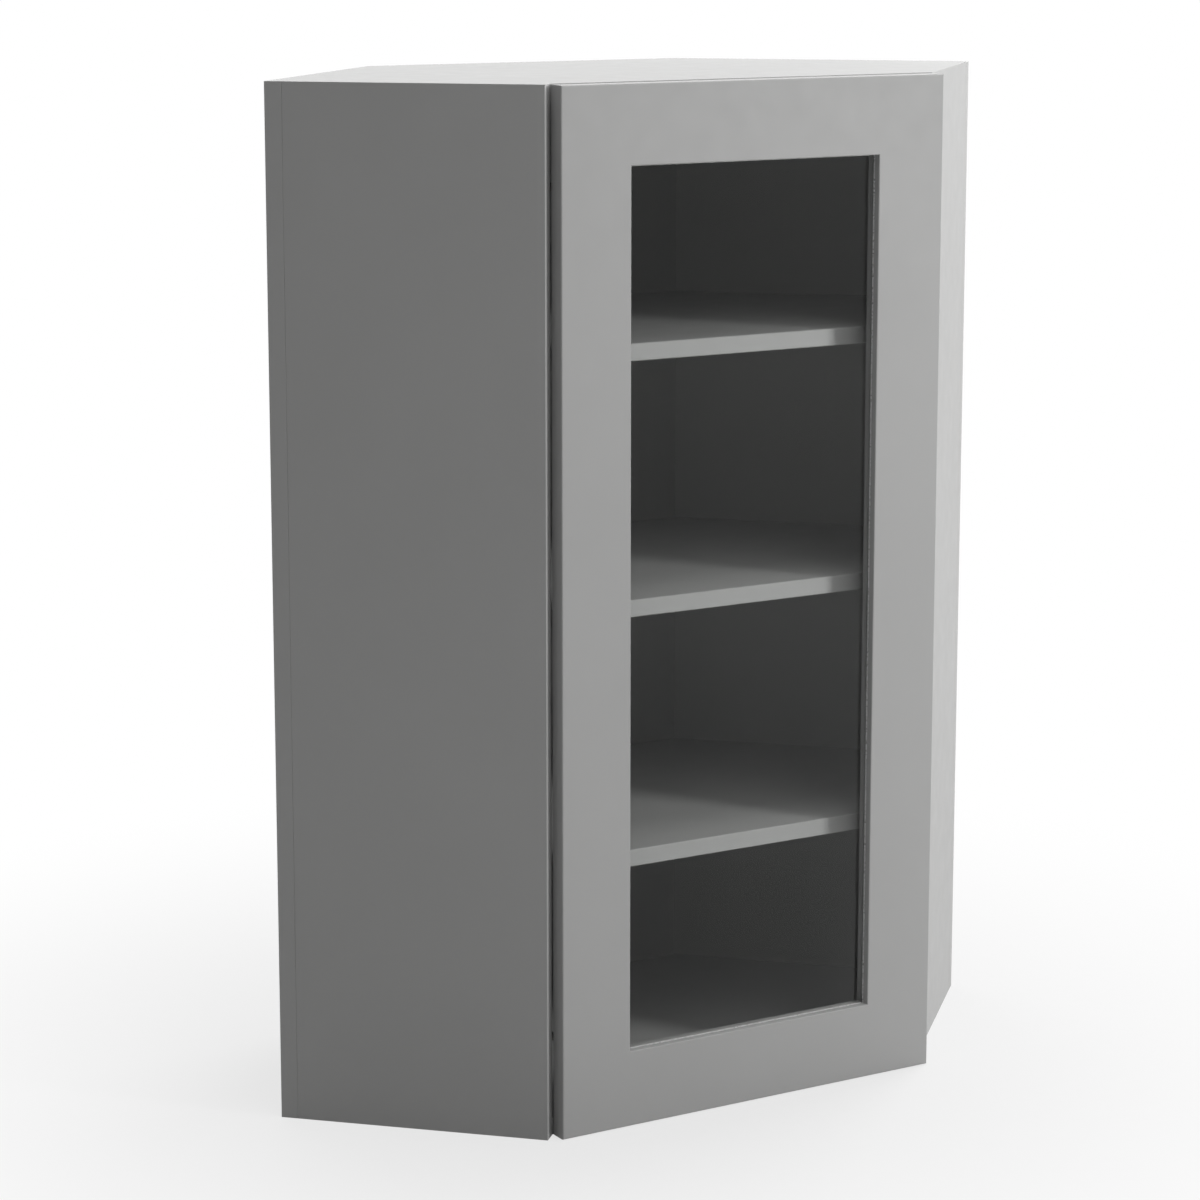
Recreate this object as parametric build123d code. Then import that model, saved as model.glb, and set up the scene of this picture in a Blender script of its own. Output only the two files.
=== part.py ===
from build123d import *
import os
from math import hypot, radians, sqrt, tan

# Corner wall cabinet for two walls that meet at a right angle, with a glazed door across
# its diagonal front and its back corner clipped off.
# X runs along the door, Y from the door to the room's corner, Z up.
# The origin is under the middle of the bounding box. Every size is in millimetres.

# ---- Carcass ----
wall_length = 609.6  # along each wall, from the room's corner to a side panel's outer face
cabinet_height = 1066.8
side_depth = 285.8  # from the wall to the square front end of the left side panel
clip_leg = 274.6  # from the room's corner to the clipped back, along each wall
board = 18.0  # thickness of the carcass boards and the shelves
edge_ease = 0.4  # small bevel on the sides' long edges

# ---- Shelves ----
shelf_count = 3
shelf_setback = 21.6  # from the opening plane to the shelves' front edge
shelf_gap = 1.5  # around a shelf
shelf_ease = 0.8  # bevel along a shelf's front edge

# ---- Shelf pins ----
pin_radius = 2.5
pin_depth = 9.0
pin_fit = 0.05
pin_air = 1.0  # behind a pin, in its hole
pin_drop = 5.0  # from a shelf's underside down to the pins
collar_radius = 4.0
collar_thickness = 1.2
ledge_length = 9.0
ledge_width = 10.0
ledge_thickness = 1.6
front_row = 37.0  # from the square front end to the front pins
rear_row = 40.0  # from the back panel's inner face to the rear pins
corner_row = 60.0  # from the clipped corner's inner edge to the pins on the backs

# ---- Door frame ----
door_thickness = 19.0
door_gap = 2.5  # between the door's back and the opening plane
door_reveal = 0.8  # at the door's top, bottom and lock side
stile_width = 80.0
rail_width = 80.0
outer_round = 1.5
sight_bevel = 0.7
tenon_length = 15.0
tenon_thickness = 6.0
tenon_shoulder = 12.0  # from the rail's outer edge to the tenon
tenon_haunch = 14.0  # from the rail's inner edge to the tenon
tenon_fit = 0.1

# ---- Glazing ----
rebate_width = 10.0
glass_front = 8.7  # from the door's face to the glass
glass_thickness = 4.0
glass_gap = 1.5  # around the pane
bead_gap = 0.1
brad_radius = 0.7
brad_length = 16.0
brad_fit = 0.05
brad_end = 45.0  # from a bead's end to its first brad
long_brad_count = 4
short_brad_count = 2

# ---- Hinges ----
hinge_end = 100.0  # from the door's ends to the hinges
pivot_inset = 6.4  # from the door's edge to the pivot
pivot_depth = 9.5  # from the door's back to the pivot
pivot_pin_radius = 1.0
pin_end_gap = 0.1  # from the pivot pin's ends to the cup's outer face
pivot_fit = 0.05
cup_edge = 3.0  # from the door's edge to the cup
cup_radius = 17.5
cup_depth = 12.5
cup_wall = 0.8
cup_fit = 0.1
flange_radius = 19.5
flange_thickness = 1.0
wing_width = 13.0
wing_reach = 30.0
notch_gap = 0.8  # beside the neck, where the cup's wall is cut away for it
cup_screw_pitch = 48.0
cup_screw_offset = 5.5
cup_screw_radius = 1.8
cup_screw_length = 12.0
cup_screw_head = 3.6
nose_radius = 1.7
neck_thickness = 2.2
neck_half_width = 4.2
neck_reach = 13.6  # from the pivot to the neck's upright stretch
neck_nose_bend = 4.5
neck_arm_bend = 7.0
arm_height = 13.0  # from the side panel to the middle of the arm's web
arm_front = 10.0  # from the square front end to the channel
arm_back = 68.0
arm_half_width = 9.0
arm_cheek = 1.2
arm_cheek_drop = 7.0
plate_line = 37.0  # from the square front end to the plate's screws
plate_pitch = 32.0
plate_thickness = 2.5
plate_wing_width = 13.0
plate_wing_reach = 23.0
plate_block_front = 22.0
plate_block_back = 62.0
plate_block_half_width = 7.4
plate_screw_radius = 2.6
plate_screw_length = 11.0
plate_screw_head = 4.4
screw_head_height = 1.8
screw_fit = 0.05
side_screw_place = 30.0  # from the square front end to the side adjusting screw
depth_screw_place = 52.0  # from the square front end to the depth adjusting screw
arm_screw_radius = 2.4
arm_screw_head = 3.8
arm_screw_length = 9.0
slot_width = 1.0
slot_length = 20.0  # longer than any head is wide
slot_depth = 0.8

# ---- Bumpers ----
bumper_radius = 4.0
bumper_gap = 0.3
bumper_end = 40.0
bumper_inset = 12.0

# ---- Dowels ----
dowel_radius = 4.0
dowel_shallow = 10.0
dowel_deep = 20.0
dowel_fit = 0.05
dowel_air = 0.5
side_dowel_end = 40.0
side_dowel_levels = 3
side_dowel_margin = 150.0
back_dowel_end = 60.0
clip_dowel_end = 70.0
mitre_dowel_radius = 3.0
mitre_dowel_reach = 11.0
mitre_dowel_margin = 120.0
mitre_dowel_levels = 4

# ---- Cam fittings ----
cam_radius = 7.5
cam_depth = 12.0
cam_sunk = 0.5
cam_setback = 24.0
cam_fit = 0.1
cam_slot = 6.6
cam_end = 80.0
cam_bolt_radius = 3.0
cam_bolt_screwed = 10.0
cam_bolt_past = 1.5
cam_bolt_neck = 2.1
cam_bolt_neck_length = 8.0
cam_bolt_head = 2.5
cam_cross_length = 8.0
cam_cross_width = 1.6
cam_cross_depth = 2.0

# ---- Hanging holes ----
hanging_hole_radius = 2.75
hanging_hole_level = 60.0  # below the cabinet's top
hanging_hole_outer = 80.0  # along the wall, from the side panel's outer face
hanging_hole_inner = 270.0

# ---- Worked out from the sizes above ----
diag = sqrt(0.5)
half_width = wall_length * diag
wall_face = wall_length - clip_leg
side_reach = (side_depth - board) * diag
carcass_reach = side_reach + wall_face * diag
door_reach = door_gap + door_thickness
opening_y = (door_reach - carcass_reach) / 2
side_y = opening_y + side_reach
back_y = opening_y + carcass_reach
clip_inner_along = wall_face - board * (1 / diag - 1)
front_half = half_width - (side_depth + board) * diag

door_left = -front_half
door_right = half_width - side_reach - door_reveal
door_back = opening_y - door_gap
door_front = door_back - door_thickness
door_bottom = door_reveal
door_top = cabinet_height - door_reveal
sight_left = door_left + stile_width
sight_right = door_right - stile_width
sight_bottom = door_bottom + rail_width
sight_top = door_top - rail_width
glass_face = door_front + glass_front
glass_back = glass_face + glass_thickness

shelf_pitch = (cabinet_height - board) / (shelf_count + 1)
shelf_tops = [board + shelf_pitch * (i + 1) for i in range(shelf_count)]

pivot = Vector(door_left + pivot_inset, door_back - pivot_depth, 0)
cup_x = door_left + cup_edge + cup_radius
hinge_levels = {"lower": door_bottom + hinge_end, "upper": door_top - hinge_end}

# Distances out from the left wall and along it, with Z up.
left_wall = Plane(origin=(-half_width, side_y, 0), x_dir=(diag, -diag, 0), z_dir=(0, 0, 1))


# The two walls, by the sign of X.
LEFT, RIGHT = -1, 1


# ---- Helpers ----
def plan(side, out, along):
    """A point of the plan: out from a wall and along it."""
    x = side * (half_width - (along + out) * diag)
    return (x, side_y + (along - out) * diag)


def block(x0, x1, y0, y1, z0, z1):
    """A box from its two corners."""
    corner = (Align.MIN, Align.MIN, Align.MIN)
    return Pos(x0, y0, z0) * Box(x1 - x0, y1 - y0, z1 - z0, align=corner)


def rod(start, end, radius):
    """A round bar between two points."""
    axis = Vector(*end) - Vector(*start)
    upright = (Align.CENTER, Align.CENTER, Align.MIN)
    return Plane(origin=start, z_dir=axis) * Cylinder(radius, axis.length, align=upright)


def prism(points, low, high):
    """An upright solid on a plan outline."""
    outline = Polyline(*[(x, y, low) for x, y in points], close=True)
    return extrude(make_face(outline), amount=high - low, dir=(0, 0, 1))


def on_left(shape):
    """Puts a shape made in the left wall's own coordinates in its place."""
    return left_wall.location * shape


def on_right(shape):
    """The same shape on the right wall, mirrored."""
    return mirror(on_left(shape), about=Plane.YZ)


def both(shape):
    return [on_left(shape), on_right(shape)]


def spread(low, high, count):
    """Evenly spaced levels from low to high."""
    return [low + (high - low) * i / (count - 1) for i in range(count)]


def inside_outline(clearance, front_y):
    """The room inside the carcass, in plan, as six corners from front left to front right."""
    near = board + clearance
    clip_y = back_y - board - clearance
    out_front = near + (side_y - front_y) / diag
    along_clip = near + (clip_y - side_y) / diag
    left = [(out_front, near), (near, near), (near, along_clip)]
    points = [plan(LEFT, out, along) for out, along in left]
    return points + [plan(RIGHT, out, along) for out, along in reversed(left)]


def write(name, shape):
    export_step(shape, f"parts/{name}.step")


def write_group(name, shapes):
    write(name, Compound(children=list(shapes)))


# ---- Carcass joints ----
def dowel_sites():
    """Where each 8 mm dowel crosses its joint, and the way to its deep end."""
    sites = []
    across = (0, 1, 0)
    out = (1, 0, 0)
    for level in (board / 2, cabinet_height - board / 2):
        for place in (board + side_dowel_end, side_depth - board - side_dowel_end):
            sites.append(((place, board, level), across))
        for place in (board + back_dowel_end, clip_inner_along - back_dowel_end):
            sites.append(((board, place, level), out))
    levels = spread(side_dowel_margin, cabinet_height - side_dowel_margin, side_dowel_levels)
    for level in levels:
        sites.append(((board, board / 2, level), out))
    return sites


def dowel(site, radius, air):
    point, way = Vector(*site[0]), Vector(*site[1])
    start = point - way * (dowel_shallow + air)
    end = point + way * (dowel_deep + air)
    return rod(start, end, radius)


def clip_dowels(radius, air):
    """Dowels from the corner back panel into the top and bottom."""
    bars = []
    face_y = back_y - board
    for level in (board / 2, cabinet_height - board / 2):
        for x in (-clip_dowel_end, clip_dowel_end):
            start = (x, face_y + dowel_shallow + air, level)
            end = (x, face_y - dowel_deep - air, level)
            bars.append(rod(start, end, radius))
    return bars


def mitre_dowels(radius, air):
    """Dowels square to the two mitres beside the corner back panel."""
    bars = []
    half_turn = radians(45 / 2)  # the clipped back turns 45 degrees from each wall
    reach = mitre_dowel_reach + air
    outer, inner = plan(LEFT, 0, wall_face), plan(LEFT, board, clip_inner_along)
    middle = Vector((outer[0] + inner[0]) / 2, (outer[1] + inner[1]) / 2)
    way = Vector(1, tan(half_turn)).normalized()
    margins = (mitre_dowel_margin, cabinet_height - mitre_dowel_margin)
    for level in spread(*margins, mitre_dowel_levels):
        centre = middle + Vector(0, 0, level)
        bar = rod(centre - way * reach, centre + way * reach, radius)
        bars += [bar, mirror(bar, about=Plane.YZ)]
    return bars


def carcass_dowels(radius, air):
    bars = clip_dowels(radius, air)
    for site in dowel_sites():
        bars += both(dowel(site, radius, air))
    return bars


# ---- Cam fittings ----
def cam_places():
    """Distance out from the wall, and the under face that the disc is let into."""
    outs = (board + cam_end, side_depth - board - cam_end)
    return [(out, face) for face in (0, cabinet_height - board) for out in outs]


def cam_disc(out, face):
    along = board + cam_setback
    low, high = face + cam_sunk, face + cam_sunk + cam_depth
    disc = rod((out, along, low), (out, along, high), cam_radius)
    half = cam_slot / 2
    axis = face + board / 2
    slot = block(out - half, out + half, board, along + half, axis - half, axis + half)
    long, wide = cam_cross_length / 2, cam_cross_width / 2
    top = low + cam_cross_depth
    cross = block(out - long, out + long, along - wide, along + wide, low, top)
    cross += block(out - wide, out + wide, along - long, along + long, low, top)
    return disc - slot - cross


def cam_disc_bore(out, face):
    along = board + cam_setback
    top = face + cam_sunk + cam_depth + cam_fit
    return rod((out, along, face), (out, along, top), cam_radius + cam_fit)


def cam_bolt(out, face):
    level = face + board / 2
    end = board + cam_setback + cam_bolt_past
    bolt = rod((out, board - cam_bolt_screwed, level), (out, end, level), cam_bolt_radius)
    neck_end = end - cam_bolt_head
    neck_start = neck_end - cam_bolt_neck_length
    ends = (out, neck_start, level), (out, neck_end, level)
    return bolt - (rod(*ends, 2 * cam_bolt_radius) - rod(*ends, cam_bolt_neck))


def cam_bolt_bore(out, face):
    level = face + board / 2
    start = (out, board - cam_bolt_screwed - dowel_air, level)
    return rod(start, (out, board + cam_setback, level), cam_bolt_radius + cam_fit)


# ---- Shelf pins ----
def pin_places():
    """Places of the left pins in the left wall's coordinates, and the way each points."""
    return [
        ((side_depth - front_row, board), (0, 1, 0)),
        ((board + rear_row, board), (0, 1, 0)),
        ((board, clip_inner_along - corner_row), (1, 0, 0)),
    ]


def shelf_pin(place, way, level):
    """A pin with a small ledge, whose top is the shelf's seat."""
    stem = rod((-pin_depth, 0, 0), (0, 0, 0), pin_radius)
    collar = rod((0, 0, 0), (collar_thickness, 0, 0), collar_radius)
    half = ledge_width / 2
    ledge = block(0, ledge_length, -half, half, pin_drop - ledge_thickness, pin_drop)
    web = block(0, collar_thickness, -half, half, 0, pin_drop)
    rib = Polyline((0, 0), (ledge_length, pin_drop), (0, pin_drop), close=True)
    rib = extrude(Plane.XZ * make_face(rib), amount=ledge_thickness / 2, both=True)
    seat = Plane(origin=(*place, level), x_dir=way, z_dir=(0, 0, 1))
    return seat.location * (stem + collar + ledge + web + rib)


def pin_hole(place, way, level):
    start = Vector(*place, level)
    return rod(start, start - Vector(*way) * (pin_depth + pin_air), pin_radius + pin_fit)


def pin_level(shelf_top):
    return shelf_top - board - pin_drop


# ---- Carcass boards ----
def hanging_holes():
    level = cabinet_height - hanging_hole_level
    holes = []
    for along in (hanging_hole_outer, hanging_hole_inner):
        holes += both(rod((0, along, level), (board, along, level), hanging_hole_radius))
    return holes


def plate_screw_bores():
    """Blind holes in the left side panel for the mounting plates."""
    bores = []
    for level in hinge_levels.values():
        for step in (-plate_pitch / 2, plate_pitch / 2):
            start = (side_depth - plate_line, board, level + step)
            end = (start[0], board - plate_screw_length, start[2])
            bores.append(on_left(rod(start, end, plate_screw_radius + screw_fit)))
    return bores


def stands_over(edge, point):
    """Whether an upright edge stands over a point of the plan."""
    centre = edge.center()
    return hypot(centre.X - point[0], centre.Y - point[1]) < edge_ease


def ease_long_edges(panel, points):
    """Bevels the upright edges of a board over the given points of the plan."""
    upright = panel.edges().filter_by(Axis.Z)
    chosen = [edge for edge in upright if any(stands_over(edge, point) for point in points)]
    return chamfer(chosen, edge_ease)


def left_side_panel():
    panel = on_left(block(board, side_depth, 0, board, 0, cabinet_height))
    eased = [plan(LEFT, board, 0), plan(LEFT, side_depth, 0), plan(LEFT, side_depth, board)]
    return ease_long_edges(panel, eased)


def right_side_panel():
    """Like the left one, with its front end cut along the opening plane."""
    front_outer, front_inner = side_depth - board, side_depth
    corners = [(board, 0), (board, board), (front_inner, board), (front_outer, 0)]
    panel = prism([plan(RIGHT, *corner) for corner in corners], 0, cabinet_height)
    eased = [plan(RIGHT, board, 0)]
    return ease_long_edges(panel, eased)


def wall_back_panel(side):
    corners = [(0, 0), (board, 0), (board, clip_inner_along), (0, wall_face)]
    panel = prism([plan(side, *corner) for corner in corners], 0, cabinet_height)
    eased = [plan(side, 0, 0), plan(side, board, 0)]
    return ease_long_edges(panel, eased)


def corner_back_panel():
    left = [plan(LEFT, 0, wall_face), plan(LEFT, board, clip_inner_along)]
    right = [plan(RIGHT, board, clip_inner_along), plan(RIGHT, 0, wall_face)]
    return prism(left + right, 0, cabinet_height)


def shelf(top):
    front_y = opening_y + shelf_setback
    blank = prism(inside_outline(shelf_gap, front_y), top - board, top)
    front = blank.edges().filter_by(Axis.X).group_by(Axis.Y)[0]
    return chamfer(front, shelf_ease)


# ---- Door ----
def door_blank():
    """The four frame members as one, to be parted at their shoulders."""
    blank = block(door_left, door_right, door_front, door_back, door_bottom, door_top)
    blank = fillet(blank.faces().sort_by(Axis.Y)[0].edges(), outer_round)
    wide = sight_right - sight_left
    tall = sight_top - sight_bottom
    middle = ((sight_left + sight_right) / 2, (sight_bottom + sight_top) / 2)
    blank -= block(sight_left, sight_right, door_front, door_back, sight_bottom, sight_top)
    low, high = sight_bottom - rebate_width, sight_top + rebate_width
    west, east = sight_left - rebate_width, sight_right + rebate_width
    blank -= block(west, east, glass_face, door_back, low, high)
    face = Plane(origin=(middle[0], door_front, middle[1]), x_dir=(1, 0, 0), z_dir=(0, 1, 0))
    grown = 2 * sight_bevel
    mouth = face * Rectangle(wide + grown, tall + grown)
    throat = face.offset(sight_bevel) * Rectangle(wide, tall)
    return blank - loft([mouth, throat])


def tenons(air):
    """The four stub tenons between rails and stiles, or their mortises with air."""
    middle = (door_front + door_back) / 2
    half = tenon_thickness / 2 + air
    reach = tenon_length + air
    low = door_bottom + tenon_shoulder - air, sight_bottom - tenon_haunch + air
    high = sight_top + tenon_haunch - air, door_top - tenon_shoulder + air
    pieces = []
    sides = (sight_left - reach, sight_left), (sight_right, sight_right + reach)
    for levels in (low, high):
        for side in sides:
            pieces.append(block(*side, middle - half, middle + half, *levels))
    return pieces


def stile(blank, west, east):
    member = blank & block(west, east, door_front, door_back, door_bottom, door_top)
    return member - tenons(tenon_fit)


def rail(blank, low, high):
    member = blank & block(sight_left, sight_right, door_front, door_back, low, high)
    own = [tenon for tenon in tenons(0) if low < tenon.center().Z < high]
    for tenon in own:
        member += tenon
    return member


def bead_outlines():
    """The mitred beads as outlines across the door: X and Z of their corners."""
    west, east = sight_left - rebate_width + bead_gap, sight_right + rebate_width - bead_gap
    low, high = sight_bottom - rebate_width + bead_gap, sight_top + rebate_width - bead_gap
    inner = [
        (sight_left, sight_bottom),
        (sight_right, sight_bottom),
        (sight_right, sight_top),
        (sight_left, sight_top),
    ]
    outer = [(west, low), (east, low), (east, high), (west, high)]
    names = ["bottom", "lock_side", "top", "hinge_side"]
    outlines = {}
    for i, name in enumerate(names):
        j = (i + 1) % len(names)
        outlines[name] = [outer[i], outer[j], inner[j], inner[i]]
    return outlines


def bead(corners):
    face = make_face(Polyline(*[(x, glass_back, z) for x, z in corners], close=True))
    return extrude(face, amount=door_back - glass_back, dir=(0, 1, 0))


def brads(radius):
    """Thin nails through the beads into the frame, each square to its edge of the glass."""
    bars = []
    level = (glass_back + door_back) / 2
    for z in spread(sight_bottom + brad_end, sight_top - brad_end, long_brad_count):
        bars.append(rod((sight_left, level, z), (sight_left - brad_length, level, z), radius))
        bars.append(rod((sight_right, level, z), (sight_right + brad_length, level, z), radius))
    for x in spread(sight_left + brad_end, sight_right - brad_end, short_brad_count):
        bars.append(rod((x, level, sight_bottom), (x, level, sight_bottom - brad_length), radius))
        bars.append(rod((x, level, sight_top), (x, level, sight_top + brad_length), radius))
    return bars


def glass_pane():
    grown = rebate_width - glass_gap
    return block(
        sight_left - grown,
        sight_right + grown,
        glass_face,
        glass_back,
        sight_bottom - grown,
        sight_top + grown,
    )


def bumpers():
    x = door_right - bumper_inset
    thickness = door_gap - bumper_gap
    levels = (door_bottom + bumper_end, door_top - bumper_end)
    return [rod((x, door_back, z), (x, door_back + thickness, z), bumper_radius) for z in levels]


# ---- Hinges, made at level 0 ----
def slotted(screw, head_top, way):
    """Cuts a screwdriver's slot into a head, whose top centre and outward way are given."""
    seat = Plane(origin=head_top, z_dir=way)
    return screw - seat * Box(slot_width, slot_length, 2 * slot_depth)


def cup():
    """The cup let into the door, with flange, wings, pin holes and a notch for the neck."""
    mouth = Vector(cup_x, door_back, 0)
    floor = Vector(cup_x, door_back - cup_depth, 0)
    rim = Vector(cup_x, door_back + flange_thickness, 0)
    shell = rod(floor, rim, cup_radius) + rod(mouth, rim, flange_radius)
    half = wing_width / 2
    wing_x = cup_x + cup_screw_offset
    shell += block(wing_x - half, wing_x + half, mouth.Y, rim.Y, -wing_reach, wing_reach)
    shell -= rod(floor + Vector(0, cup_wall, 0), rim, cup_radius - cup_wall)
    for screw_z in (-cup_screw_pitch / 2, cup_screw_pitch / 2):
        start, end = (wing_x, mouth.Y, screw_z), (wing_x, rim.Y, screw_z)
        shell -= rod(start, end, cup_screw_radius + screw_fit)
    notch = neck_half_width + notch_gap
    edge = cup_x - flange_radius
    shell -= block(edge, pivot.X, pivot.Y, rim.Y, -notch, notch)
    return shell - pivot_bar(cup_radius, pivot_pin_radius + screw_fit)


def pivot_bar(length, radius):
    """A round bar on the hinge's axis, by its half length."""
    return rod(pivot - Vector(0, 0, length), pivot + Vector(0, 0, length), radius)


def pivot_pin():
    """The pin from wall to wall of the cup, its ends shaped to the cup's round outside."""
    floor = Vector(cup_x, door_back - cup_depth, 0)
    rim = Vector(cup_x, door_back, 0)
    return pivot_bar(cup_radius, pivot_pin_radius) & rod(floor, rim, cup_radius - pin_end_gap)


def cup_bore():
    bottom = (cup_x, door_back - cup_depth - cup_fit, 0)
    bore = rod(bottom, (cup_x, door_back, 0), cup_radius + cup_fit)
    wing_x = cup_x + cup_screw_offset
    for z in (-cup_screw_pitch / 2, cup_screw_pitch / 2):
        end = (wing_x, door_back - cup_screw_length, z)
        bore += rod((wing_x, door_back, z), end, cup_screw_radius + screw_fit)
    return bore


def cup_screws():
    wing_x = cup_x + cup_screw_offset
    seat = door_back + flange_thickness
    screws = []
    for z in (-cup_screw_pitch / 2, cup_screw_pitch / 2):
        tip = (wing_x, seat - cup_screw_length, z)
        top = (wing_x, seat + screw_head_height, z)
        screw = rod(tip, top, cup_screw_radius) + rod((wing_x, seat, z), top, cup_screw_head)
        screws.append(slotted(screw, top, (0, 1, 0)))
    return screws


def arm_web():
    """How far along the wall the arm's web lies: its under side and its top."""
    middle = board + arm_height
    return middle - neck_thickness / 2, middle + neck_thickness / 2


def arm():
    """The hinge's arm: a nose on the pivot, a neck that hooks out of the cup, a channel."""
    web_low, web_high = arm_web()
    turn_x = pivot.X + neck_reach
    line_sum = -half_width + side_y + (web_low + web_high) * diag
    neck_end = plan(LEFT, side_depth - arm_front - neck_arm_bend, board + arm_height)
    corners = [(pivot.X, pivot.Y), (turn_x, pivot.Y), (turn_x, line_sum - turn_x), neck_end]
    path = FilletPolyline(*corners, radius=[neck_nose_bend, neck_arm_bend])
    strip = trace(path, line_width=neck_thickness)
    solid = extrude(strip, amount=neck_half_width, both=True)
    solid += pivot_bar(neck_half_width, nose_radius)
    front, back = side_depth - arm_front, side_depth - arm_back
    half = arm_half_width
    channel = block(back, front, web_low, web_high, -half, half)
    for side in (-1, 1):
        edges = sorted((side * half, side * (half - arm_cheek)))
        channel += block(back, front, web_low - arm_cheek_drop, web_low, *edges)
    for place in (side_screw_place, depth_screw_place):
        out = side_depth - place
        channel -= rod((out, web_low, 0), (out, web_high, 0), arm_screw_radius + screw_fit)
    solid += on_left(channel)
    return solid - pivot_bar(neck_half_width, pivot_pin_radius + pivot_fit)


def mounting_plate():
    web_low, _ = arm_web()
    line = side_depth - plate_line
    half = plate_wing_width / 2
    top = board + plate_thickness
    plate = block(line - half, line + half, board, top, -plate_wing_reach, plate_wing_reach)
    front, back = side_depth - plate_block_front, side_depth - plate_block_back
    wide = plate_block_half_width
    plate += block(back, front, board, web_low, -wide, wide)
    for z in (-plate_pitch / 2, plate_pitch / 2):
        plate -= rod((line, board, z), (line, top, z), plate_screw_radius + screw_fit)
    for place in (side_screw_place, depth_screw_place):
        out = side_depth - place
        start = (out, web_low - arm_screw_length, 0)
        plate -= rod(start, (out, web_low, 0), arm_screw_radius + screw_fit)
    return on_left(plate)


def plate_screws():
    line = side_depth - plate_line
    seat = board + plate_thickness
    screws = []
    for z in (-plate_pitch / 2, plate_pitch / 2):
        tip, top = (line, board - plate_screw_length, z), (line, seat + screw_head_height, z)
        screw = rod(tip, top, plate_screw_radius) + rod((line, seat, z), top, plate_screw_head)
        screws.append(on_left(slotted(screw, top, (0, 1, 0))))
    return screws


def arm_screws():
    web_low, web_high = arm_web()
    screws = []
    for place in (side_screw_place, depth_screw_place):
        out = side_depth - place
        tip, top = (out, web_high - arm_screw_length, 0), (out, web_high + screw_head_height, 0)
        screw = rod(tip, top, arm_screw_radius) + rod((out, web_high, 0), top, arm_screw_head)
        screws.append(on_left(slotted(screw, top, (0, 1, 0))))
    return screws


def at_hinges(shapes):
    """The same pieces at both hinges."""
    return [Pos(0, 0, level) * shape for level in hinge_levels.values() for shape in shapes]


# ---- Build ----
os.makedirs("parts", exist_ok=True)

cam_bores = []
for spot in cam_places():
    cam_bores += both(cam_disc_bore(*spot)) + both(cam_bolt_bore(*spot))
dowel_bores = carcass_dowels(dowel_radius + dowel_fit, dowel_air)
mitre_bores = mitre_dowels(mitre_dowel_radius + dowel_fit, dowel_air)
pin_bores = []
for top in shelf_tops:
    for place, way in pin_places():
        pin_bores += both(pin_hole(place, way, pin_level(top)))
carcass_bores = cam_bores + dowel_bores + mitre_bores + pin_bores

write("left_side_panel", left_side_panel() - carcass_bores - plate_screw_bores())
write("right_side_panel", right_side_panel() - carcass_bores)
write("left_back_panel", wall_back_panel(LEFT) - carcass_bores - hanging_holes())
write("right_back_panel", wall_back_panel(RIGHT) - carcass_bores - hanging_holes())
write("corner_back_panel", corner_back_panel() - carcass_bores)
floor_outline = inside_outline(0, opening_y)
write("bottom_panel", prism(floor_outline, 0, board) - carcass_bores)
top_low = cabinet_height - board
write("top_panel", prism(floor_outline, top_low, cabinet_height) - carcass_bores)
write_group("carcass_dowels", carcass_dowels(dowel_radius, 0))
write_group("mitre_dowels", mitre_dowels(mitre_dowel_radius, 0))
write_group("cam_discs", [disc for spot in cam_places() for disc in both(cam_disc(*spot))])
write_group("cam_bolts", [bolt for spot in cam_places() for bolt in both(cam_bolt(*spot))])

for name, top in zip(("lower", "middle", "upper"), shelf_tops):
    write(f"{name}_shelf", shelf(top))
    pins = []
    for place, way in pin_places():
        pins += both(shelf_pin(place, way, pin_level(top)))
    write_group(f"{name}_shelf_pins", pins)

frame_blank = door_blank()
brad_bores = brads(brad_radius + brad_fit)
hinge_stile = stile(frame_blank, door_left, sight_left) - brad_bores - at_hinges([cup_bore()])
write("hinge_stile", hinge_stile)
write("lock_stile", stile(frame_blank, sight_right, door_right) - brad_bores)
write("door_top_rail", rail(frame_blank, sight_top, door_top) - brad_bores)
write("door_bottom_rail", rail(frame_blank, door_bottom, sight_bottom) - brad_bores)
write("door_glass", glass_pane())
for name, corners in bead_outlines().items():
    write(f"glazing_bead_{name}", bead(corners) - brad_bores)
write_group("bead_brads", brads(brad_radius))
write_group("door_bumpers", bumpers())

for name, level in hinge_levels.items():
    write(f"{name}_hinge_cup", Pos(0, 0, level) * cup())
    write(f"{name}_hinge_pin", Pos(0, 0, level) * pivot_pin())
    write(f"{name}_hinge_arm", Pos(0, 0, level) * arm())
    write(f"{name}_hinge_plate", Pos(0, 0, level) * mounting_plate())
write_group("hinge_cup_screws", at_hinges(cup_screws()))
write_group("hinge_plate_screws", at_hinges(plate_screws()))
write_group("hinge_arm_screws", at_hinges(arm_screws()))
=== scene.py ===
"""Looks of a corner wall cabinet with a glazed door: finishes, small pieces and studio."""

import logging
import math
from dataclasses import dataclass, field
from enum import Enum
from typing import Iterable

import bmesh
import bpy
from mathutils import Euler, Matrix, Vector


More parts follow.
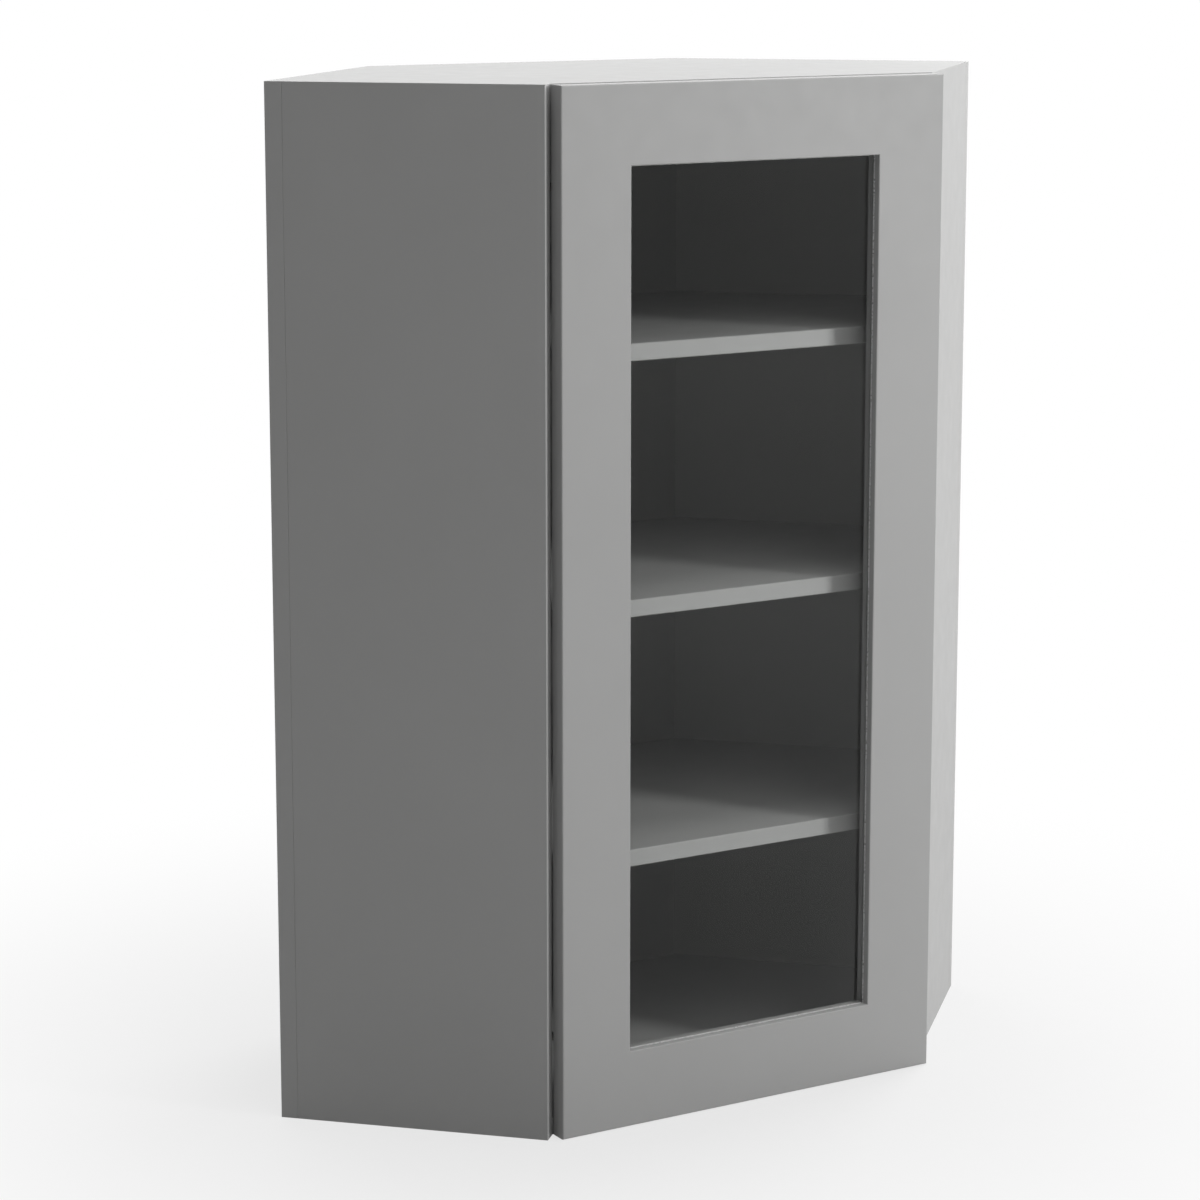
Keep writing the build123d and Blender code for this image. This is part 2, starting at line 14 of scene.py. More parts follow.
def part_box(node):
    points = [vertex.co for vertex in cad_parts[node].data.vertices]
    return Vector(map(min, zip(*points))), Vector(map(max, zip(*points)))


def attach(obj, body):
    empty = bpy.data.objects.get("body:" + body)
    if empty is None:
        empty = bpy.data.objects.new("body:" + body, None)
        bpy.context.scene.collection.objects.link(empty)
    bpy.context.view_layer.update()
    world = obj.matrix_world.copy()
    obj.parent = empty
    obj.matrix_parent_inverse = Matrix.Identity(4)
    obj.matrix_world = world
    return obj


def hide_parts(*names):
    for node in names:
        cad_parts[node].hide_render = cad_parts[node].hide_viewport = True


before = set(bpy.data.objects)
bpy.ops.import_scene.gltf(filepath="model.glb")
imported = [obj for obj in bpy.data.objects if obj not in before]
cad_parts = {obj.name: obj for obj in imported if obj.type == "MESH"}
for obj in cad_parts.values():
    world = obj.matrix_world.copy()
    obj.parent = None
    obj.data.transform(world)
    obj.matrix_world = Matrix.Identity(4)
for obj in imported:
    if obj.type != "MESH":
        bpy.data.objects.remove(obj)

LOG = logging.getLogger("corner_cabinet")
MM = 0.001
SAME_POINT = 1e-6
# The values between which nearly all of a noise pattern lies.
NOISE_RANGE = (0.3, 0.7)


# ---- Names shared with the CAD ----
class Body(Enum):
    """The bodies that added pieces ride on."""

    DOOR = "door"


class Slot(Enum):
    """A record finish named for the added pieces; no piece here is given it."""

    SILICONE = "clear_bumper"


# ---- Patterns and colours ----
class Grain(Enum):
    """The way a pattern runs, as the scale of its coordinates along X, Y and Z."""

    EVEN = (1.0, 1.0, 1.0)
    UPRIGHT = (1.0, 1.0, 0.06)
    ACROSS = (0.06, 1.0, 1.0)


@dataclass(frozen=True)
class Pattern:
    """A noise pattern: its cells in a metre, its octaves and the way it runs."""

    scale: float
    detail: float
    grain: Grain = Grain.EVEN


@dataclass(frozen=True)
class Relief:
    """How deep a pattern lies in a surface, in metres, and how much of it shows."""

    depth: float
    strength: float


@dataclass(frozen=True)
class Colour:
    """A colour as linear red, green and blue."""

    red: float
    green: float
    blue: float

    def opaque(self) -> tuple[float, float, float, float]:
        """The colour with full alpha."""
        return (self.red, self.green, self.blue, 1.0)

    def times(self, factor: float) -> "Colour":
        """The colour made darker or lighter."""
        return Colour(self.red * factor, self.green * factor, self.blue * factor)


WHITE = Colour(1.0, 1.0, 1.0)


# ---- Shader making ----
class NodeTree:
    """A tree of shader nodes while it is being filled."""

    def __init__(self, tree: bpy.types.NodeTree) -> None:
        """Empties the tree.

        Args:
            tree: The tree of a material or of the world.
        """
        self.nodes = tree.nodes
        self.links = tree.links
        self.nodes.clear()

    def feed(self, socket: bpy.types.NodeSocket, value: object) -> None:
        """Links an input to an output, or sets its value.

        Args:
            socket: The input.
            value: The output, or else a plain value.
        """
        if isinstance(value, bpy.types.NodeSocket):
            self.links.new(value, socket)
        else:
            socket.default_value = value

    def add(self, kind: str, **inputs: object) -> bpy.types.Node:
        """Adds a node and feeds its inputs by name.

        Args:
            kind: The node's type.
            **inputs: Values or outputs by input name, with _ for a space.

        Returns:
            The new node.
        """
        node = self.nodes.new(kind)
        for name, value in inputs.items():
            self.feed(node.inputs[name.replace("_", " ")], value)
        return node

    def chain(self, kind: str, *inputs: object, **options: str) -> bpy.types.Node:
        """Adds a node and feeds its first inputs in their order.

        Args:
            kind: The node's type.
            *inputs: Values or outputs.
            **options: The node's own settings, such as operation.

        Returns:
            The new node.
        """
        node = self.nodes.new(kind)
        for name, option in options.items():
            setattr(node, name, option)
        for socket, value in zip(node.inputs, inputs):
            self.feed(socket, value)
        return node

    def mix(
        self,
        share: bpy.types.NodeSocket,
        first: bpy.types.NodeSocket,
        second: bpy.types.NodeSocket,
    ) -> bpy.types.NodeSocket:
        """Mixes two shaders.

        Args:
            share: The second shader's share.
            first: One shader.
            second: The other shader.

        Returns:
            The mixed shader.
        """
        return self.chain("ShaderNodeMixShader", share, first, second).outputs["Shader"]

    def shown(self) -> bpy.types.NodeSocket:
        """Tells rays that show a thing to the camera from light that falls on the cabinet.

        Returns:
            1 for a ray from the camera, straight, mirrored or through glass, and else 0.
        """
        rays = self.nodes.new("ShaderNodeLightPath").outputs
        seen: bpy.types.NodeSocket = rays["Is Camera Ray"]
        for kind in ("Is Glossy Ray", "Is Transmission Ray"):
            either = self.chain("ShaderNodeMath", seen, rays[kind], operation="MAXIMUM")
            seen = either.outputs["Value"]
        return seen


class Shader(NodeTree):
    """One material while its nodes are being added."""

    def __init__(self, name: str) -> None:
        """Starts an empty node material.

        Args:
            name: The material's name.
        """
        self.material = bpy.data.materials.new(name)
        self.material.use_nodes = True
        super().__init__(self.material.node_tree)
        self.place = self.nodes.new("ShaderNodeTexCoord").outputs["Object"]

    def noise(self, pattern: Pattern) -> bpy.types.NodeSocket:
        """Adds a noise pattern in object coordinates.

        Args:
            pattern: The pattern.

        Returns:
            The pattern's value, around 0.5.
        """
        spot = self.add("ShaderNodeMapping", Vector=self.place, Scale=pattern.grain.value)
        made = self.add(
            "ShaderNodeTexNoise",
            Vector=spot.outputs["Vector"],
            Scale=pattern.scale,
            Detail=pattern.detail,
        )
        return made.outputs["Fac"]

    def map_range(
        self,
        value: bpy.types.NodeSocket,
        source: tuple[float, float],
        target: tuple[float, float],
        curve: str = "LINEAR",
    ) -> bpy.types.NodeSocket:
        """Maps a value from one range to another.

        Args:
            value: The value.
            source: The ends of its own range.
            target: The results at these ends.
            curve: The way it runs between them.

        Returns:
            The mapped value.
        """
        node = self.chain("ShaderNodeMapRange", value, *source, *target, interpolation_type=curve)
        return node.outputs["Result"]

    def spread(
        self, value: bpy.types.NodeSocket, target: tuple[float, float]
    ) -> bpy.types.NodeSocket:
        """Maps a noise pattern to a range.

        Args:
            value: The pattern's value.
            target: The results at the pattern's low and high values.

        Returns:
            The mapped value.
        """
        return self.map_range(value, NOISE_RANGE, target)

    def blend(
        self, value: bpy.types.NodeSocket, dark: Colour, light: Colour
    ) -> bpy.types.NodeSocket:
        """Turns a noise pattern into a colour between two.

        Args:
            value: The pattern's value.
            dark: The colour at the pattern's low values.
            light: The colour at its high values.

        Returns:
            The colour.
        """
        ramp = self.chain("ShaderNodeValToRGB", value)
        stops = ramp.color_ramp.elements
        for stop, spot, colour in zip(stops, NOISE_RANGE, (dark, light)):
            stop.position = spot
            stop.color = colour.opaque()
        return ramp.outputs["Color"]

    def mix_colours(
        self,
        share: bpy.types.NodeSocket,
        first: bpy.types.NodeSocket,
        second: bpy.types.NodeSocket,
    ) -> bpy.types.NodeSocket:
        """Mixes two colours.

        Args:
            share: The second colour's share.
            first: One colour.
            second: The other colour.

        Returns:
            The mixed colour.
        """
        node = self.nodes.new("ShaderNodeMix")
        node.data_type = "RGBA"
        sources = {"Factor_Float": share, "A_Color": first, "B_Color": second}
        for socket in node.inputs:
            if socket.identifier in sources:
                self.links.new(sources[socket.identifier], socket)
        return next(o for o in node.outputs if o.identifier == "Result_Color")

    def bump(
        self,
        height: bpy.types.NodeSocket,
        relief: Relief,
        normal: bpy.types.NodeSocket | None = None,
    ) -> bpy.types.NodeSocket:
        """Adds relief from a pattern.

        Args:
            height: The pattern that raises the surface.
            relief: Its depth and strength.
            normal: The normal it is laid on, or None for the surface's own.

        Returns:
            The new normal.
        """
        node = self.add(
            "ShaderNodeBump",
            Height=height,
            Distance=relief.depth,
            Strength=relief.strength,
        )
        if normal is not None:
            self.links.new(normal, node.inputs["Normal"])
        return node.outputs["Normal"]

    def close(self, surface: bpy.types.NodeSocket) -> bpy.types.Material:
        """Joins a shader to the material's output.

        Args:
            surface: The shader.

        Returns:
            The finished material.
        """
        self.add("ShaderNodeOutputMaterial", Surface=surface)
        return self.material


# ---- Finishes ----
@dataclass(frozen=True)
class PaintFinish:
    """Satin lacquer sprayed on wood, mottled, with orange peel and thinner at its edges."""

    name: str
    grain: Grain = Grain.EVEN
    edge_radius: float = 0.35 * MM
    edge_wear: float = 0.06
    colour: Colour = Colour(0.400, 0.400, 0.397)
    mottling: float = 0.015
    thin_tones: tuple[float, float] = (1.5, 1.6)
    edge_turn: tuple[float, float] = (0.75, 0.99)
    roughness: tuple[float, float] = (0.48, 0.58)
    refraction: float = 1.47
    gloss: float = 0.3
    clouds: Pattern = Pattern(7.0, 4.0)
    sheen: Pattern = Pattern(45.0, 3.0)
    specks: Pattern = Pattern(900.0, 1.0)
    fibre_scale: float = 220.0
    fibre_detail: float = 3.0
    peel: Relief = Relief(0.06 * MM, 0.10)
    fibre_relief: Relief = Relief(0.10 * MM, 0.05)

    def make(self) -> bpy.types.Material:
        """Makes the paint's material."""
        shader = Shader(self.name)
        clouds = shader.noise(self.clouds)
        full = (self.colour.times(1 - self.mottling), self.colour.times(1 + self.mottling))
        thin = (self.colour.times(tone) for tone in self.thin_tones)
        edge = shader.add("ShaderNodeBevel", Radius=self.edge_radius).outputs["Normal"]
        fibres = shader.noise(Pattern(self.fibre_scale, self.fibre_detail, self.grain))
        peel = shader.bump(shader.noise(self.specks), self.peel, edge)
        skin = shader.add(
            "ShaderNodeBsdfPrincipled",
            Base_Color=shader.mix_colours(
                self.worn(shader, edge),
                shader.blend(clouds, *full),
                shader.blend(clouds, *thin),
            ),
            Roughness=shader.spread(shader.noise(self.sheen), self.roughness),
            IOR=self.refraction,
            Specular_IOR_Level=self.gloss,
            Normal=shader.bump(fibres, self.fibre_relief, peel),
        )
        return shader.close(skin.outputs["BSDF"])

    def worn(self, shader: Shader, edge: bpy.types.NodeSocket) -> bpy.types.NodeSocket:
        """Adds the share of thin paint, which is there only along edges.

        Args:
            shader: The paint's material.
            edge: The normal with its edges rounded.

        Returns:
            The share, from how far the rounded normal turns off the flat one.
        """
        flat = shader.nodes.new("ShaderNodeNewGeometry").outputs["Normal"]
        turn = shader.chain("ShaderNodeVectorMath", edge, flat, operation="DOT_PRODUCT")
        return shader.map_range(turn.outputs["Value"], self.edge_turn, (self.edge_wear, 0.0))


@dataclass(frozen=True)
class MetalFinish:
    """Plated or cast metal, with fine scratches and faint stains."""

    name: str
    colour: Colour
    roughness: tuple[float, float]
    scratch_scale: float = 1500.0
    scratch_detail: float = 2.0
    scratch_relief: Relief = Relief(0.02 * MM, 0.35)
    stains: Pattern = Pattern(160.0, 4.0)
    stain_tone: float = 0.88
    polish: Pattern = Pattern(420.0, 3.0)

    def make(self) -> bpy.types.Material:
        """Makes the metal's material."""
        shader = Shader(self.name)
        stains = shader.noise(self.stains)
        scratches = shader.noise(Pattern(self.scratch_scale, self.scratch_detail, Grain.UPRIGHT))
        skin = shader.add(
            "ShaderNodeBsdfPrincipled",
            Base_Color=shader.blend(stains, self.colour.times(self.stain_tone), self.colour),
            Metallic=1.0,
            Roughness=shader.spread(shader.noise(self.polish), self.roughness),
            Normal=shader.bump(scratches, self.scratch_relief),
        )
        return shader.close(skin.outputs["BSDF"])


@dataclass(frozen=True)
class BeechFinish:
    """Plain turned beech with short dark flecks."""

    name: str
    colour: Colour = Colour(0.53, 0.34, 0.19)
    tones: tuple[float, float] = (0.72, 1.08)
    roughness: tuple[float, float] = (0.70, 0.58)
    flecks: Pattern = Pattern(650.0, 4.0)
    relief: Relief = Relief(0.05 * MM, 0.4)

    def make(self) -> bpy.types.Material:
        """Makes the beech's material."""
        shader = Shader(self.name)
        flecks = shader.noise(self.flecks)
        skin = shader.add(
            "ShaderNodeBsdfPrincipled",
            Base_Color=shader.blend(flecks, *(self.colour.times(tone) for tone in self.tones)),
            Roughness=shader.spread(flecks, self.roughness),
            Normal=shader.bump(flecks, self.relief),
        )
        return shader.close(skin.outputs["BSDF"])


@dataclass(frozen=True)
class GlassFinish:
    """Thin clear glass with a dulled mirror image and the faint marks of a wiping cloth."""

    name: str
    tint: Colour = Colour(0.990, 0.994, 0.991)
    smeared: Colour = Colour(0.92, 0.93, 0.93)
    roughness: tuple[float, float] = (0.02, 0.09)
    refraction: float = 1.52
    mirror_share: float = 0.15
    smears: Pattern = Pattern(9.0, 5.0, Grain.UPRIGHT)

    def make(self) -> bpy.types.Material:
        """Makes the glass's material."""
        shader = Shader(self.name)
        smears = shader.noise(self.smears)
        clear = shader.add("ShaderNodeBsdfTransparent", Color=self.tint.opaque())
        mirror = shader.add(
            "ShaderNodeBsdfAnisotropic",
            Color=shader.blend(smears, self.smeared, WHITE),
            Roughness=shader.spread(smears, self.roughness),
        )
        slant = shader.add("ShaderNodeFresnel", IOR=self.refraction).outputs["Fac"]
        share = shader.chain("ShaderNodeMath", slant, self.mirror_share, operation="MULTIPLY")
        mixed = shader.mix(share.outputs["Value"], clear.outputs["BSDF"], mirror.outputs["BSDF"])
        return shader.close(mixed)


@dataclass(frozen=True)
class SiliconeFinish:
    """Soft clear silicone, cloudy inside and a little dusty outside. On the glazing seal its pale
    colour is also a painted highlight, standing in for the line of light along the pane's edge.
    """

    name: str
    # Pale: on the bumpers this is the silicone's own colour, on the glazing seal it is partly a
    # painted highlight.
    colour: Colour = Colour(0.86, 0.87, 0.86)
    dusty_tone: float = 0.9
    roughness: tuple[float, float] = (0.22, 0.38)
    refraction: float = 1.41
    clearness: float = 0.55
    dust: Pattern = Pattern(800.0, 3.0)
    relief: Relief = Relief(0.03 * MM, 0.3)

    def make(self) -> bpy.types.Material:
        """Makes the silicone's material."""
        shader = Shader(self.name)
        dust = shader.noise(self.dust)
        skin = shader.add(
            "ShaderNodeBsdfPrincipled",
            Base_Color=shader.blend(dust, self.colour.times(self.dusty_tone), self.colour),
            Roughness=shader.spread(dust, self.roughness),
            IOR=self.refraction,
            Transmission_Weight=self.clearness,
            Normal=shader.bump(dust, self.relief),
        )
        return shader.close(skin.outputs["BSDF"])


@dataclass(frozen=True)
class FloorFinish:
    """Matt pale studio floor that the camera sees fade to white further off."""

    name: str
    colour: Colour = Colour(0.52, 0.52, 0.52)
    tones: tuple[float, float] = (0.99, 1.01)
    roughness: tuple[float, float] = (0.85, 0.95)
    paper: Pattern = Pattern(60.0, 4.0)
    relief: Relief = Relief(0.1 * MM, 0.1)
    fade_reach: tuple[float, float] = (0.2, 1.2)
    whiteness: tuple[float, float] = (0.68, 1.0)

    def make(self) -> bpy.types.Material:
        """Makes the floor's material."""
        shader = Shader(self.name)
        paper = shader.noise(self.paper)
        matt = shader.add(
            "ShaderNodeBsdfPrincipled",
            Base_Color=shader.blend(paper, *(self.colour.times(tone) for tone in self.tones)),
            Roughness=shader.spread(paper, self.roughness),
            Specular_IOR_Level=0.0,
            Normal=shader.bump(paper, self.relief),
        )
        white = shader.add("ShaderNodeEmission", Strength=1.0)
        reach = shader.chain("ShaderNodeVectorMath", shader.place, operation="LENGTH")
        faded = shader.map_range(
            reach.outputs["Value"], self.fade_reach, self.whiteness, "SMOOTHSTEP"
        )
        part = shader.chain("ShaderNodeMath", faded, shader.shown(), operation="MULTIPLY")
        mixed = shader.mix(
            part.outputs["Value"], matt.outputs["BSDF"], white.outputs["Emission"]
        )
        return shader.close(mixed)


# ---- Pieces ----
def dress(names: Iterable[str], material: bpy.types.Material) -> None:
    """Gives CAD nodes a finish.

    Args:
        names: The nodes.
        material: The finish, for every slot of each node.
    """
    for name in names:
        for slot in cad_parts[name].material_slots:
            slot.material = material
        LOG.info("%s wears %s", name, material.name)


def in_order(mesh: bmesh.types.BMesh) -> bmesh.types.BMesh:
    """Copies a bmesh with its points and faces sorted, so that every run stores the same.

    Args:
        mesh: The shape. It is freed.

    Returns:
        The sorted copy.
    """
    points = sorted(mesh.verts, key=lambda vert: tuple(vert.co))
    rank = {vert: number for number, vert in enumerate(points)}
    rings = []
    for face in mesh.faces:
        ring = [rank[vert] for vert in face.verts]
        start = ring.index(min(ring))
        rings.append(ring[start:] + ring[:start])
    copy = bmesh.new()
    verts = [copy.verts.new(vert.co) for vert in points]
    for ring in sorted(rings):
        copy.faces.new([verts[number] for number in ring])
    mesh.free()
    return copy


def make_piece(
    mesh: bmesh.types.BMesh,
    name: str,
    material: bpy.types.Material,
    body: Body,
) -> bpy.types.Object:
    """Turns a bmesh into a piece of the cabinet.

    Args:
        mesh: The piece's shape in the row frame, in metres. It is freed.
        name: The piece's name.
        material: Its finish.
        body: The body that it rides on.

    Returns:
        The new object, riding on its body.
    """
    bmesh.ops.remove_doubles(mesh, verts=mesh.verts, dist=SAME_POINT)
    bmesh.ops.recalc_face_normals(mesh, faces=mesh.faces)
    ordered = in_order(mesh)
    data = bpy.data.meshes.new(name)
    ordered.to_mesh(data)
    ordered.free()
    data.materials.append(material)
    piece = bpy.data.objects.new(name, data)
    bpy.context.scene.collection.objects.link(piece)
    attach(piece, body.value)
    LOG.info("%s: %d faces on %s", name, len(data.polygons), body.value)
    return piece


@dataclass
class Carcass:
    """The painted boards of the carcass and the fittings that join them."""

    boards: tuple[str, ...] = (
        "left_side_panel",
        "right_side_panel",
        "left_back_panel",
        "right_back_panel",
        "corner_back_panel",
        "bottom_panel",
        "top_panel",
    )

    def build(self) -> None:
        """Dresses the boards, dowels, cam discs and cam bolts."""
        dress(self.boards, PaintFinish("carcass_satin", edge_wear=0.04).make())
        dress(("carcass_dowels", "mitre_dowels"), BeechFinish("beech").make())
        cast = Colour(0.50, 0.50, 0.51)
        zinc = MetalFinish("cast_zinc", cast, (0.38, 0.55), scratch_scale=900.0)
        dress(("cam_discs",), zinc.make())
        bolt = MetalFinish("bolt_steel", Colour(0.60, 0.59, 0.57), (0.25, 0.40))
        dress(("cam_bolts",), bolt.make())


@dataclass
class Shelves:
    """Three painted shelves on turned metal pins."""

    levels: tuple[str, ...] = ("lower", "middle", "upper")

    def build(self) -> None:
        """Dresses the shelves and their pins."""
        paint = PaintFinish("shelf_satin", grain=Grain.ACROSS, edge_radius=0.5 * MM)
        dress([f"{level}_shelf" for level in self.levels], paint.make())
        nickel = MetalFinish("pin_nickel_plate", Colour(0.66, 0.63, 0.58), (0.20, 0.32))
        dress([f"{level}_shelf_pins" for level in self.levels], nickel.make())


@dataclass
class GlazingSealAndHighlight:
    """The thin pale seal in the corner between the door's frame and its pane. It is partly a real
    seal and partly a painted highlight: its pale strip stands in for the bright line of light
    along the pane's edge.
    """

    leg: float = 1.1 * MM
    steps: int = 4
    low: Vector = field(init=False)
    high: Vector = field(init=False)

    def __post_init__(self) -> None:
        """Finds the corners of the frame's opening on the pane's front."""
        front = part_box("door_glass")[0].y
        west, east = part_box("hinge_stile")[1].x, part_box("lock_stile")[0].x
        sill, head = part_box("door_bottom_rail")[1].z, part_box("door_top_rail")[0].z
        self.low = Vector((west, front, sill))
        self.high = Vector((east, front, head))

    def build(self, silicone: bpy.types.Material) -> None:
        """Makes the seal, one closed ring with a hollow face.

        Args:
            silicone: Its finish.
        """
        low, high = self.low, self.high
        mesh = bmesh.new()
        outline = ((low.x, low.z), (high.x, low.z), (high.x, high.z), (low.x, high.z))
        pane_face = mesh.faces.new([mesh.verts.new((x, low.y, z)) for x, z in outline])
        pane_face.normal_update()
        bmesh.ops.inset_region(
            mesh,
            faces=[pane_face],
            thickness=self.leg,
            use_boundary=True,
            use_even_offset=True,
        )
        bmesh.ops.delete(mesh, geom=[pane_face], context="FACES_ONLY")
        outer = [e for e in mesh.edges if e.is_boundary and self.on_frame(e)]
        inner = [e for e in mesh.edges if e.is_boundary and e not in outer]
        wall = bmesh.ops.extrude_edge_only(mesh, edges=outer)["geom"]
        raised = [g for g in wall if isinstance(g, bmesh.types.BMVert)]
        bmesh.ops.translate(mesh, verts=raised, vec=(0.0, -self.leg, 0.0))
        rim = [g for g in wall if isinstance(g, bmesh.types.BMEdge)]
        slope = bmesh.ops.bridge_loops(mesh, edges=inner + rim)["edges"]
        cut = bmesh.ops.subdivide_edges(
            mesh,
            edges=slope,
            cuts=self.steps - 1,
            use_grid_fill=True,
        )
        for vert in (g for g in cut["geom_inner"] if isinstance(g, bmesh.types.BMVert)):
            self.hollow_out(vert)
        # Painted highlight: this pale strip stands in for the bright line of light along the
        # pane's edge, and is also the seal itself.
        make_piece(mesh, "glazing_seal_and_highlight", silicone, Body.DOOR)

    def on_frame(self, edge: bmesh.types.BMEdge) -> bool:
        """Tells whether an edge lies along the frame.

        Args:
            edge: The edge.

        Returns:
            Whether both its ends are on one side of the opening.
        """
        sides = (("x", self.low.x), ("x", self.high.x), ("z", self.low.z), ("z", self.high.z))
        return any(
            all(abs(getattr(vert.co, axis) - place) < SAME_POINT for vert in edge.verts)
            for axis, place in sides
        )

    def hollow_out(self, vert: bmesh.types.BMVert) -> None:
        """Moves a point of the seal's sloping face in, onto a hollow arc.

        Args:
            vert: The point, on the straight slope.
        """
        share = (self.low.y - vert.co.y) / self.leg
        turn = share * math.pi / 2
        rise = self.leg * (1 - math.cos(turn))
        away = self.leg * (1 - math.sin(turn))
        slope = self.leg * (1 - share)
        vert.co.y = self.low.y - rise
        for axis in (0, 2):
            start, end = self.low[axis], self.high[axis]
            if abs(vert.co[axis] - start - slope) < SAME_POINT:
                vert.co[axis] = start + away
            elif abs(end - vert.co[axis] - slope) < SAME_POINT:
                vert.co[axis] = end - away


@dataclass
class Bumpers:
    """The two soft buttons on the door's back, with rounded rims."""

    rim_round: float = 1.1 * MM
    rim_steps: int = 5
    sides: int = 48

    def build(self, silicone: bpy.types.Material) -> None:
        """Makes both buttons as one piece, in the bumper node's place.

        Args:
            silicone: Their finish.
        """
        low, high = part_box("door_bumpers")
        radius = (high.x - low.x) / 2
        mesh = bmesh.new()
        for level in (low.z + radius, high.z - radius):
            centre = Vector((low.x + radius, (low.y + high.y) / 2, level))
            self.add_button(mesh, centre, radius, high.y - low.y)
        piece = make_piece(mesh, "soft_bumpers", silicone, Body.DOOR)
        piece.data.shade_smooth()
        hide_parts("door_bumpers")

    def add_button(
        self, mesh: bmesh.types.BMesh, centre: Vector, radius: float, height: float
    ) -> None:
        """Adds one button and rounds the rim that the carcass meets.

        Args:
            mesh: The mesh that it is added to.
            centre: Its middle.
            radius: Its radius.
            height: Its height off the door.
        """
        turned = Matrix.Translation(centre) @ Euler((-math.pi / 2, 0, 0)).to_matrix().to_4x4()
        made = bmesh.ops.create_cone(
            mesh,
            cap_ends=True,
            segments=self.sides,
            radius1=radius,
            radius2=radius,
            depth=height,
            matrix=turned,
        )
        crown = centre.y + height / 2
        own = set(made["verts"])
        rim = [
            edge
            for edge in mesh.edges
            if all(vert in own and abs(vert.co.y - crown) < SAME_POINT for vert in edge.verts)
        ]
        bmesh.ops.bevel(
            mesh,
            geom=rim,
            offset=self.rim_round,
            offset_type="OFFSET",
            affect="EDGES",
            segments=self.rim_steps,
            profile=0.5,
            material=-1,
        )


@dataclass
class GlazedDoor:
    """The framed door with its pane, beads, pale seal and bumpers; the seal is partly a painted
    highlight along the pane's edge.
    """

    edge_radius: float = 0.05 * MM
    bead_edge_radius: float = 0.3 * MM

    def build(self) -> None:
        """Dresses the frame, the pane and the beads, and adds the seal and the bumpers."""
        for grain, name, pieces in (
            (Grain.UPRIGHT, "door_satin_upright", ("hinge_stile", "lock_stile")),
            (Grain.ACROSS, "door_satin_across", ("door_top_rail", "door_bottom_rail")),
        ):
            paint = PaintFinish(name, grain, self.edge_radius, edge_wear=0.0)
            dress(pieces, paint.make())
        beads = PaintFinish("bead_satin", edge_radius=self.bead_edge_radius).make()
        ends = ("bottom", "lock_side", "top", "hinge_side")
        dress([f"glazing_bead_{end}" for end in ends], beads)
        brads = MetalFinish("brad_steel", Colour(0.56, 0.55, 0.53), (0.3, 0.45))
        dress(("bead_brads",), brads.make())
        dress(("door_glass",), GlassFinish("float_glass").make())
        # One pale silicone for both: the bumpers' own colour and the glazing seal's painted
        # highlight.
        silicone = SiliconeFinish("pale_silicone_and_highlight").make()
        # The seal below is partly a painted highlight, a pale strip for the line of light along
        # the pane's edge.
        GlazingSealAndHighlight().build(silicone)
        Bumpers().build(silicone)


@dataclass
class Hinges:
    """The two concealed hinges with their screws."""

    levels: tuple[str, ...] = ("lower", "upper")

    def build(self) -> None:
        """Dresses the cups, arms, plates, pins and screws."""
        nickel = MetalFinish("hinge_nickel_plate", Colour(0.66, 0.64, 0.60), (0.18, 0.30)).make()
        steel = MetalFinish("screw_plate", Colour(0.60, 0.59, 0.57), (0.22, 0.36)).make()
        for level in self.levels:
            dress([f"{level}_hinge_{piece}" for piece in ("cup", "arm", "plate")], nickel)
            dress((f"{level}_hinge_pin",), steel)
        dress([f"hinge_{piece}_screws" for piece in ("cup", "plate", "arm")], steel)


# ---- Studio ----
@dataclass(frozen=True)
class Lamp:
    """A square soft light aimed at a point of the cabinet."""

    name: str
    place: tuple[float, float, float]
    size: float
    power: float
    target: tuple[float, float, float] = (0.0, 0.0, 0.5)

    def make(self) -> None:
        """Makes the lamp."""
        light = bpy.data.lights.new(self.name, "AREA")
        light.size = self.size
        light.energy = self.power
        lamp = bpy.data.objects.new(self.name, light)
        bpy.context.scene.collection.objects.link(lamp)
        lamp.location = self.place
        aim = Vector(self.target) - Vector(self.place)
        lamp.rotation_euler = aim.to_track_quat("-Z", "Y").to_euler()
        LOG.info("lamp %s", self.name)


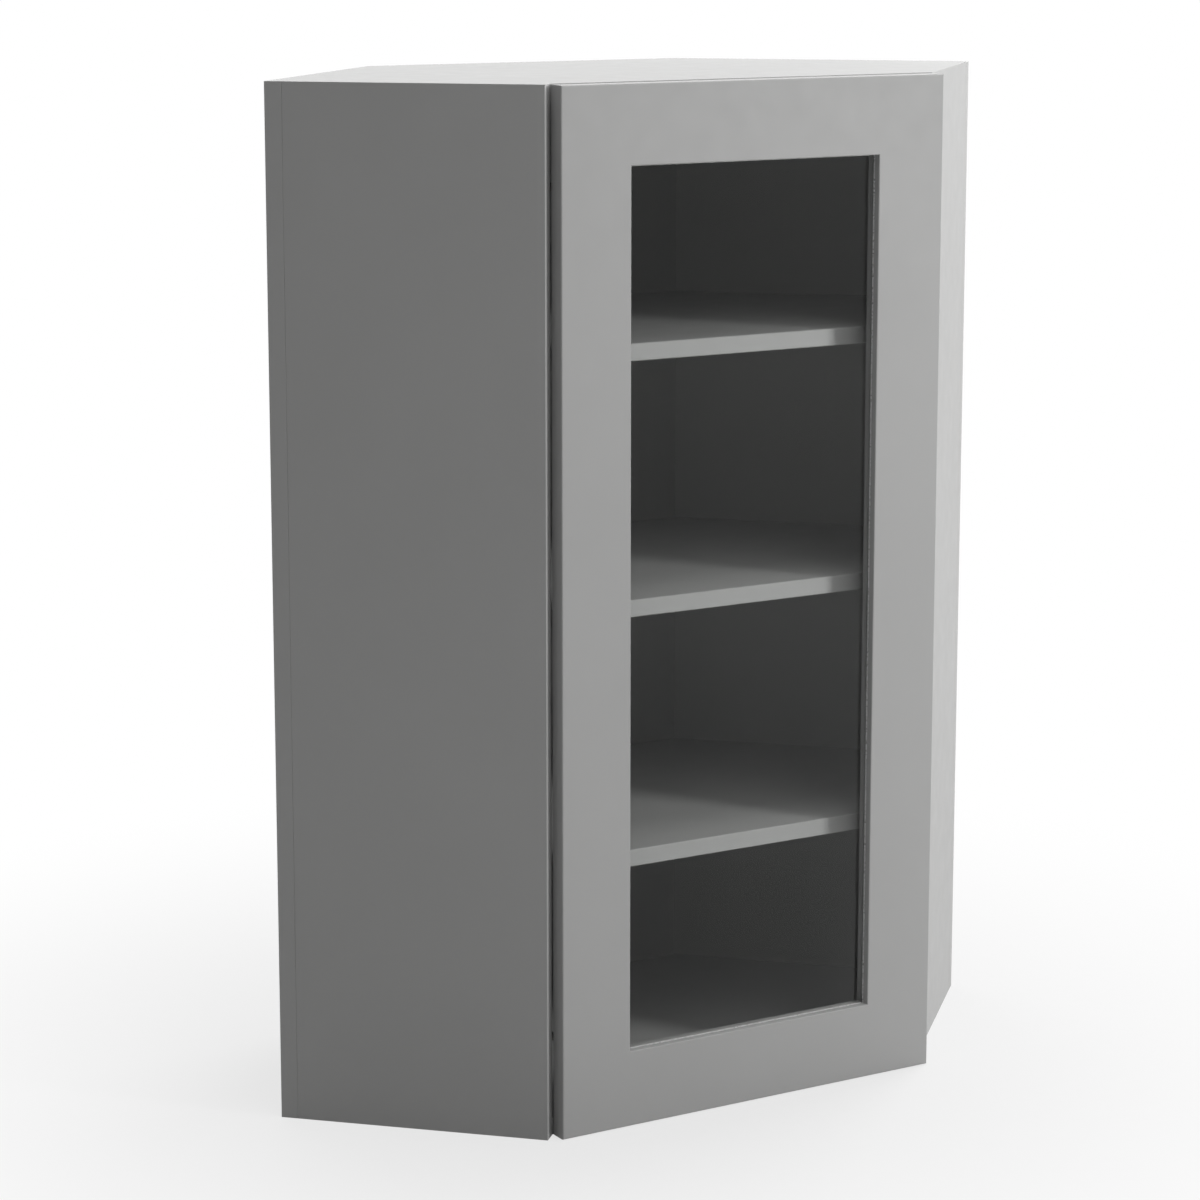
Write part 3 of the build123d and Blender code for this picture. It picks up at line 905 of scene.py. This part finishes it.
@dataclass
class Studio:
    """The pale floor, the lamps and the surrounding light."""

    floor_size: float = 240.0
    floor_cells: int = 8
    sky: float = 0.10
    lamps: tuple[Lamp, ...] = (
        Lamp("main_softbox", (1.43, -2.26, 1.3), 0.5, 34.0),
        Lamp("overhead_softbox", (0.0, 0.0, 4.0), 3.0, 74.0),
        Lamp("rear_softbox", (0.3, 2.8, 3.4), 2.4, 36.0),
        Lamp("right_softbox", (3.1, 1.1, 2.4), 2.0, 120.0),
        Lamp("front_softbox", (0.0, -2.8, 3.6), 2.0, 22.0),
    )

    def build(self) -> None:
        """Makes the floor, the lamps and the world."""
        self.make_floor()
        for lamp in self.lamps:
            lamp.make()
        self.make_world()

    def make_floor(self) -> None:
        """Makes the floor, which takes the cabinet's soft shadow."""
        mesh = bmesh.new()
        bmesh.ops.create_grid(
            mesh,
            x_segments=self.floor_cells,
            y_segments=self.floor_cells,
            size=self.floor_size / 2,
        )
        data = bpy.data.meshes.new("studio_floor")
        mesh.to_mesh(data)
        mesh.free()
        data.materials.append(FloorFinish("matt_floor").make())
        floor = bpy.data.objects.new("studio_floor", data)
        bpy.context.scene.collection.objects.link(floor)
        LOG.info("studio_floor")

    def make_world(self) -> None:
        """Makes the even light all round, which the camera sees as white."""
        world = bpy.data.worlds.new("studio_light")
        bpy.context.scene.world = world
        world.use_nodes = True
        tree = NodeTree(world.node_tree)
        soft = tree.add("ShaderNodeBackground", Color=WHITE.opaque(), Strength=self.sky)
        white = tree.add("ShaderNodeBackground", Color=WHITE.opaque(), Strength=1.0)
        mixed = tree.mix(
            tree.shown(), soft.outputs["Background"], white.outputs["Background"]
        )
        tree.add("ShaderNodeOutputWorld", Surface=mixed)
        LOG.info("world light %.2f", self.sky)


@dataclass(frozen=True)
class PhotoCamera:
    """The camera of the photograph, with its angles in degrees and its lens in millimetres."""

    place: tuple[float, float, float] = (-1.8966, -3.0961, 1.2347)
    turn: float = -30.976
    tilt: float = 79.758
    lens: float = 103.053
    sensor: float = 36.0
    shift_y: float = -0.06
    reach: float = 500.0

    def make(self) -> None:
        """Makes the camera and gives it to the scene."""
        data = bpy.data.cameras.new("photo_camera")
        data.lens = self.lens
        data.sensor_width = self.sensor
        data.shift_y = self.shift_y
        data.clip_end = self.reach
        camera = bpy.data.objects.new("photo_camera", data)
        bpy.context.scene.collection.objects.link(camera)
        camera.location = self.place
        camera.rotation_euler = (math.radians(self.tilt), 0.0, math.radians(self.turn))
        bpy.context.scene.camera = camera
        LOG.info("photo_camera at %s", self.place)


def main() -> None:
    """Dresses the cabinet, adds its small pieces and sets up the studio."""
    logging.basicConfig(level=logging.INFO, format="%(name)s: %(message)s")
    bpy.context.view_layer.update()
    PhotoCamera().make()
    Carcass().build()
    Shelves().build()
    GlazedDoor().build()
    Hinges().build()
    Studio().build()
    bpy.context.scene.view_settings.view_transform = "Standard"


if __name__ == "__main__":
    main()
